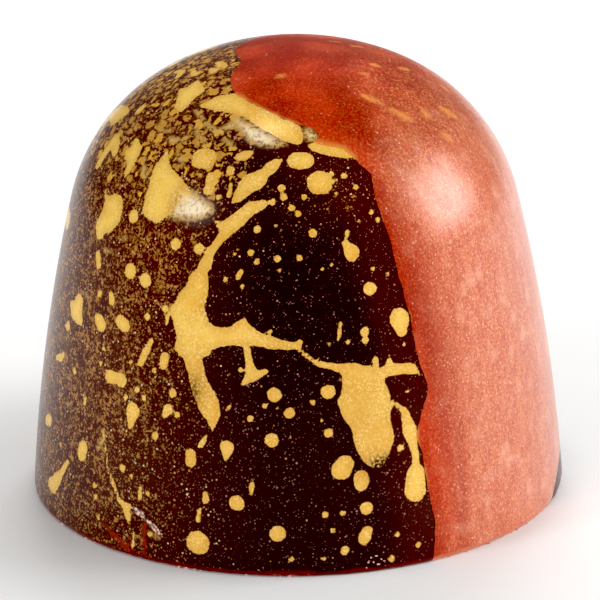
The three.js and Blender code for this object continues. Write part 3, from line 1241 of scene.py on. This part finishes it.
@dataclass(frozen=True)
class CoverRules:
    """How spray, pale copper with its painted sheen, and thin paint lie: spans of azimuth, in degrees,
    and of girth, in mm.
    """

    side: float = 90.0
    mist_left: Span = (-2.0, -52.0)
    mist_back: Span = (100.0, 175.0)
    mist_low: Span = (9.0, 1.0)
    least_mist: float = 0.12
    left_mist: float = 0.7
    low_loss: float = 0.12
    froth_left: Span = (-8.0, -32.0)
    froth_back: Span = (-150.0, -90.0)
    froth_low: Span = (17.0, 22.0)
    froth_high: Span = (29.5, 26.0)
    # paler towards the right: partly pearlier paint, partly painted sheen where the right light falls
    pale_right: Span = (21.0, 47.0)
    pale_down: Span = (27.0, 19.0)
    pale_crown: float = 0.12

    def mist(self, azimuth: float, girth: float) -> float:
        """How thickly the fine spray lies: heavy on the left, light in front, less so low down.

        Args:
            azimuth: Degrees round from the front.
            girth: Millimetres up the surface.

        Returns:
            The density, from 0 to 1.
        """
        left = smooth_step(azimuth, *(self.mist_back if azimuth > self.side else self.mist_left))
        low = self.low_loss * smooth_step(girth, *self.mist_low) * left
        patches = patches_at((azimuth, girth), SPRAY_PATCHES)
        return min(1.0, max(0.0, self.least_mist + self.left_mist * left + patches - low))

    def froth(self, azimuth: float, girth: float) -> float:
        """How far the spray has run together into a net: high on the left.

        Args:
            azimuth: Degrees round from the front.
            girth: Millimetres up the surface.

        Returns:
            The density, from 0 to 1.
        """
        turned = azimuth if azimuth < self.side else azimuth - 360.0
        left = smooth_step(turned, *self.froth_left) * smooth_step(turned, *self.froth_back)
        return left * smooth_step(girth, *self.froth_low) * smooth_step(girth, *self.froth_high)

    def pale_and_sheen(self, azimuth: float, girth: float) -> float:
        """How pale the copper is: deep red on the crown and pale on the right, partly painted sheen
        where the right light falls, with a painted highlight between.

        Args:
            azimuth: Degrees round from the front.
            girth: Millimetres up the surface.

        Returns:
            The share of pale copper, from 0 to 1.
        """
        right = smooth_step(azimuth, *self.pale_right) if azimuth > -self.side else 1.0
        down = smooth_step(girth, *self.pale_down)
        pale = right * (self.pale_crown + (1.0 - self.pale_crown) * down)
        return min(1.0, max(0.0, pale + patches_at((azimuth, girth), PALE_AND_SHEEN_PATCHES)))

    def thin(self, azimuth: float, girth: float) -> float:
        """Where the paint is thin, on the red and on the yellow, and the painted highlight at the
        sail.

        Args:
            azimuth: Degrees round from the front.
            girth: Millimetres up the surface.

        Returns:
            The thinness, from 0 to 1.
        """
        return min(1.0, patches_at((azimuth, girth), THIN_PATCHES))


@dataclass(frozen=True)
class CrumbFinish:
    """Pale pinkish crumbs of cocoa butter."""

    pale: Rgb = (240, 206, 190)
    pink: Rgb = (214, 130, 106)

    def build(self) -> bpy.types.Material:
        """Make the crumbs' material.

        Returns:
            The material.
        """
        graph = ShaderGraph("crumb_butter")
        colour = graph.blend(graph.ramp(graph.noise(2.0, 2.0), 0.35, 0.65), self.pale, self.pink)
        grain = graph.relief(graph.product(graph.noise(9.0), 0.02 * MM))
        return graph.finish(Base_Color=colour, Roughness=0.55, Normal=grain)


@dataclass(frozen=True)
class FloorFinish:
    """Plain pale table, very faintly mottled."""

    light: Rgb = (246, 246, 246)
    shade: Rgb = (242, 242, 241)

    def build(self) -> bpy.types.Material:
        """Make the floor's material.

        Returns:
            The material.
        """
        graph = ShaderGraph("pale_floor")
        colour = graph.blend(graph.noise(0.02, 2.0), self.shade, self.light)
        return graph.finish(Base_Color=colour, Roughness=0.7)


@dataclass
class PaintedShell:
    """The praline's whole surface, turned, scarred and marked for its finish."""

    outline: TurnedOutline
    turns: int = 480
    weld: float = 1e-4
    scar_centre: Point = (-37.0, 1.2)
    scar_spread: Point = (6.0, 0.9)
    scar_depth: float = 0.1
    trim_depth: float = 0.04
    trim_height: float = 0.3
    trim_waves: tuple[Span, ...] = ((23.0, 0.0), (61.0, 1.0))  # waves once round, and their lag
    splatter: HiddenSplatter = field(default_factory=HiddenSplatter)
    rules: CoverRules = field(default_factory=CoverRules)
    finish: PaintedFinish = field(default_factory=PaintedFinish)

    def build(self) -> bpy.types.Object:
        """Make the shell as one closed mesh.

        Returns:
            The shell's object.
        """
        turned = self._turned()
        layer = turned.verts.layers.float[Layer.GIRTH.value]
        girths = [vertex[layer] for vertex in turned.verts]
        marks = SurfaceMarks(self.outline, [vertex.co.copy() for vertex in turned.verts], girths)
        self._wear(turned, marks)
        bmesh.ops.scale(turned, vec=(MM, MM, MM), verts=turned.verts)
        shell = make_piece("painted_shell", turned, self.finish.build())
        self._mark(shell.data, marks)
        shell.data.shade_smooth()
        return shell

    def _turned(self) -> bmesh.types.BMesh:
        """Spin the outline and close it with the base.

        Returns:
            The surface, in millimetres, with its girth as a layer.
        """
        turned = bmesh.new()
        layer = turned.verts.layers.float.new(Layer.GIRTH.value)
        rings = self.outline.base_rings
        foot = self.outline.points[0][0]
        profile = [((foot * ring / rings, 0.0), foot * ring / rings - foot) for ring in range(rings)]
        profile += list(zip(self.outline.points, self.outline.girths))
        verts = []
        for (radius, height), girth in profile:
            vertex = turned.verts.new((0.0, -radius, height))
            vertex[layer] = girth
            verts.append(vertex)
        edges = [turned.edges.new(pair) for pair in zip(verts, verts[1:])]
        bmesh.ops.spin(
            turned, geom=verts + edges, cent=(0.0, 0.0, 0.0), axis=(0.0, 0.0, 1.0),
            angle=math.tau, steps=self.turns, use_merge=True,
        )
        bmesh.ops.remove_doubles(turned, verts=turned.verts, dist=self.weld)
        bmesh.ops.recalc_face_normals(turned, faces=turned.faces)
        return turned

    def _wear(self, turned: bmesh.types.BMesh, marks: SurfaceMarks) -> None:
        """Sink the scar and trim the foot unevenly.

        Args:
            turned: The surface, in millimetres.
            marks: Its points.
        """
        turned.verts.ensure_lookup_table()
        for vertex, azimuth, girth in zip(turned.verts, marks.azimuths, marks.girths):
            if girth <= 0.0:
                continue
            depth = self.scar_depth * bump_of((azimuth, girth), self.scar_centre, self.scar_spread)
            turn = math.radians(azimuth)
            waver = 0.5 + sum(0.25 * math.sin(turn * waves + lag) for waves, lag in self.trim_waves)
            near_foot = smooth_step(girth, 2.0 * self.trim_height, self.trim_height)
            depth += self.trim_depth * waver * near_foot
            outwards = Vector((vertex.co.x, vertex.co.y, 0.0))
            if outwards.length > depth:
                vertex.co -= outwards.normalized() * depth

    def _mark(self, mesh: bpy.types.Mesh, marks: SurfaceMarks) -> None:
        """Write every layer that the finish reads.

        Args:
            mesh: The shell's mesh.
            marks: Its points.
        """
        values = {layer: marks.blank() for layer in (
            Layer.SPLASH, Layer.FILM, Layer.GHOST, Layer.FLAKE, Layer.SMEAR)}
        marks.blots(values[Layer.SPLASH], (TRUNK, BLADE, SAIL, HEAD, CROWN_BAND, *LEFT_BLOTS))
        marks.spines(values[Layer.SPLASH], STREAKS)
        marks.spines(values[Layer.SPLASH], ((drop,) for drop in DROPS))
        marks.spines(values[Layer.SPLASH], self.splatter.spines())
        marks.spines(values[Layer.FILM], FILMS)
        marks.blots(values[Layer.FILM], FILM_BLOTS)
        marks.spines(values[Layer.GHOST], GHOSTS)
        marks.spines(values[Layer.FLAKE], FLAKES)
        marks.spines(values[Layer.SMEAR], SMEARS)
        values[Layer.COAT] = marks.coat(COAT_EDGE)
        values[Layer.MIST] = marks.each(self.rules.mist)
        values[Layer.FROTH] = marks.each(self.rules.froth)
        values[Layer.PALE_AND_SHEEN] = marks.each(self.rules.pale_and_sheen)
        values[Layer.THIN] = marks.each(self.rules.thin)
        for layer, numbers in values.items():
            attribute = mesh.attributes.new(layer.value, "FLOAT", "POINT")
            attribute.data.foreach_set("value", numbers)


@dataclass
class FootCrumbs:
    """Tiny pale crumbs caught along the trimmed foot."""

    outline: TurnedOutline
    seed: int = 5
    strays: int = 26
    stray_girths: Span = (0.03, 0.2)
    stray_sizes: Span = (0.05, 0.1)
    jag: float = 0.25
    stretches: tuple[Span, ...] = ((0.7, 1.5), (0.6, 1.0), (0.5, 0.9))
    places: tuple[Mark, ...] = (
        (-62, 0.12, 0.11), (-50.5, 0.1, 0.16), (-49, 0.15, 0.09), (-44, 0.05, 0.12),
        (-26, 0.15, 0.1), (-24.5, 0.1, 0.13), (-22.5, 0.1, 0.12), (-21, 0.05, 0.09),
        (-4, 0.08, 0.11), (-2, 0.1, 0.12), (-0.5, 0.06, 0.08), (14, 0.45, 0.08),
        (15.5, 0.7, 0.09), (16.6, 0.55, 0.1), (17.2, 0.8, 0.07), (15, 0.95, 0.06),
        (16.2, 1, 0.07), (17.8, 0.7, 0.06), (14.4, 0.7, 0.06), (-56, 0.15, 0.1),
        (-53.5, 0.12, 0.07), (33, 0.1, 0.08), (38, 0.12, 0.1), (41.5, 0.1, 0.07),
        (52, 0.12, 0.1), (58, 0.1, 0.09), (66, 0.12, 0.1),
    )
    finish: CrumbFinish = field(default_factory=CrumbFinish)

    def build(self) -> bpy.types.Object:
        """Make all the crumbs as one mesh.

        Returns:
            The crumbs' object.
        """
        dice = random.Random(self.seed)
        crumbs = bmesh.new()
        ranges = ((-180.0, 180.0), self.stray_girths, self.stray_sizes)
        strays = ([dice.uniform(*span) for span in ranges] for _ in range(self.strays))
        for azimuth, girth, size in (*self.places, *strays):
            self._add_crumb(crumbs, dice, self.outline.place(azimuth, girth), size)
        bmesh.ops.scale(crumbs, vec=(MM, MM, MM), verts=crumbs.verts)
        return make_piece("foot_crumbs", crumbs, self.finish.build())

    def _add_crumb(
        self, crumbs: bmesh.types.BMesh, dice: random.Random, spot: Vector, size: float
    ) -> None:
        """Add one jagged crumb that stays over the table and inside the foot's circle.

        Args:
            crumbs: The mesh that it joins.
            dice: The source of its shape.
            spot: Where it lies, in millimetres.
            size: Its radius.
        """
        made = bmesh.ops.create_icosphere(crumbs, subdivisions=1, radius=size)["verts"]
        stretch = tuple(dice.uniform(*span) for span in self.stretches)
        bmesh.ops.scale(crumbs, vec=stretch, verts=made)
        turn = Matrix.Rotation(dice.uniform(0.0, math.tau), 3, "Z")
        bmesh.ops.rotate(crumbs, cent=(0.0, 0.0, 0.0), matrix=turn, verts=made)
        bmesh.ops.translate(crumbs, vec=spot, verts=made)
        limit = self.outline.base_radius
        for vertex in made:
            vertex.co += Vector(dice.uniform(-self.jag, self.jag) * size for _ in range(3))
            vertex.co.z = max(0.0, vertex.co.z)
            reach = vertex.co.xy.length
            if reach > limit:
                vertex.co.xy *= limit / reach


def direction(azimuth: float, elevation: float) -> Vector:
    """Turn two angles into a direction from the praline.

    Args:
        azimuth: Degrees round from the front towards +X.
        elevation: Degrees above the table.

    Returns:
        The direction, of length 1.
    """
    turn, rise = math.radians(azimuth), math.radians(elevation)
    flat = math.cos(rise)
    return Vector((math.sin(turn) * flat, -math.cos(turn) * flat, math.sin(rise)))


@dataclass(frozen=True)
class SoftBox:
    """A soft light, placed and sized by the angles that it fills at the praline."""

    name: str
    where: Point  # azimuth and elevation, in degrees
    spread: Point  # width and height, in degrees
    radiance: float
    seen: bool = True  # whether the gloss mirrors it
    distance: float = 350.0

    def build(self, aim: Vector) -> None:
        """Hang the light.

        Args:
            aim: What it points at, in millimetres.
        """
        reach = 2.0 * self.distance * MM
        wide, high = (reach * math.tan(math.radians(0.5 * angle)) for angle in self.spread)
        lamp = bpy.data.lights.new(self.name, "AREA")
        lamp.shape = "RECTANGLE"
        lamp.size, lamp.size_y = wide, high
        lamp.energy = self.radiance * math.pi * wide * high
        box = bpy.data.objects.new(self.name, lamp)
        outwards = direction(*self.where)
        box.location = (aim + outwards * self.distance) * MM
        box.rotation_euler = outwards.to_track_quat("Z", "Y").to_euler()
        box.visible_glossy = self.seen
        bpy.context.scene.collection.objects.link(box)


@dataclass
class Studio:
    """The pale floor, the soft lights, the bright surroundings and the camera."""

    aim: Mark = (0.223, 0.0, 9.84)
    distance: float = 240.0
    elevation: float = 19.55
    roll: float = -0.835
    lens: float = 274.4
    sensor: float = 36.0
    nearest: float = 10.0
    farthest: float = 10000.0
    floor_radius: float = 1500.0
    floor_sides: int = 64
    glow: float = 0.25
    black_point: float = 0.027
    boxes: tuple[SoftBox, ...] = (
        SoftBox("key_box", (91.0, 21.5), (30.0, 25.0), 7.4),
        SoftBox("left_box", (-58.0, 32.0), (10.0, 9.0), 18.5),
        SoftBox("top_box", (-100.0, 79.0), (12.0, 7.0), 12.0),
        SoftBox("right_canopy", (88.0, 55.0), (40.0, 28.0), 2.15, seen=False),
        SoftBox("back_canopy", (174.0, 33.0), (30.0, 34.0), 5.9, seen=False),
        SoftBox("left_card", (-82.0, 22.0), (30.0, 30.0), 0.7, seen=False),
        SoftBox("front_card", (0.0, 7.0), (90.0, 12.0), 4.15, seen=False),
    )
    finish: FloorFinish = field(default_factory=FloorFinish)

    def build(self) -> None:
        """Make the floor, the lights, the surroundings and the camera."""
        self._floor()
        for box in self.boxes:
            box.build(Vector(self.aim))
        self._surroundings()
        self._camera()
        view = bpy.context.scene.view_settings
        view.view_transform = "Standard"
        view.use_curve_mapping = True
        view.curve_mapping.black_level = (self.black_point,) * 3

    def _floor(self) -> None:
        """Lay the table top."""
        top = bmesh.new()
        radius = self.floor_radius * MM
        bmesh.ops.create_circle(top, cap_ends=True, segments=self.floor_sides, radius=radius)
        bmesh.ops.recalc_face_normals(top, faces=top.faces)
        table = make_piece("table_top", top, self.finish.build())

    def _surroundings(self) -> None:
        """Make the plain, softly lit surroundings."""
        world = bpy.data.worlds.new("studio_glow")
        world.use_nodes = True
        background = world.node_tree.nodes["Background"].inputs
        background["Strength"].default_value = self.glow
        background["Color"].default_value = (1.0, 1.0, 1.0, 1.0)
        bpy.context.scene.world = world

    def _camera(self) -> None:
        """Set the camera where the photograph was taken from."""
        lens = bpy.data.cameras.new("camera")
        lens.lens = self.lens
        lens.sensor_width = self.sensor
        lens.clip_start = self.nearest * MM
        lens.clip_end = self.farthest * MM
        camera = bpy.data.objects.new("camera", lens)
        back = direction(0.0, self.elevation)
        pitch = Matrix.Rotation(math.radians(90.0 - self.elevation), 4, "X")
        roll = Matrix.Rotation(math.radians(self.roll), 4, "Z")
        place = Matrix.Translation((Vector(self.aim) + back * self.distance) * MM)
        camera.matrix_world = place @ pitch @ roll
        bpy.context.scene.collection.objects.link(camera)
        bpy.context.scene.camera = camera


def report(piece: bpy.types.Object) -> None:
    """Say how large a piece's mesh is.

    Args:
        piece: The piece.
    """
    mesh = piece.data
    LOG.info("%s: %d points, %d faces", piece.name, len(mesh.vertices), len(mesh.polygons))


def main() -> None:
    """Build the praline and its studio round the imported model."""
    logging.basicConfig(level=logging.INFO, format="%(name)s: %(message)s")
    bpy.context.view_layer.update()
    low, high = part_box(CAD_NODE)
    outline = TurnedOutline(base_radius=0.5 * (high[0] - low[0]) / MM)
    LOG.info("outline: %.2f mm high, %.2f mm of girth", outline.points[-1][1], outline.whole_girth)
    shell = PaintedShell(outline).build()
    crumbs = FootCrumbs(outline).build()
    for piece in (shell, crumbs):
        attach(piece, BODY)
        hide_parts(CAD_NODE)
        report(piece)
    Studio().build()


if __name__ == "__main__":
    main()
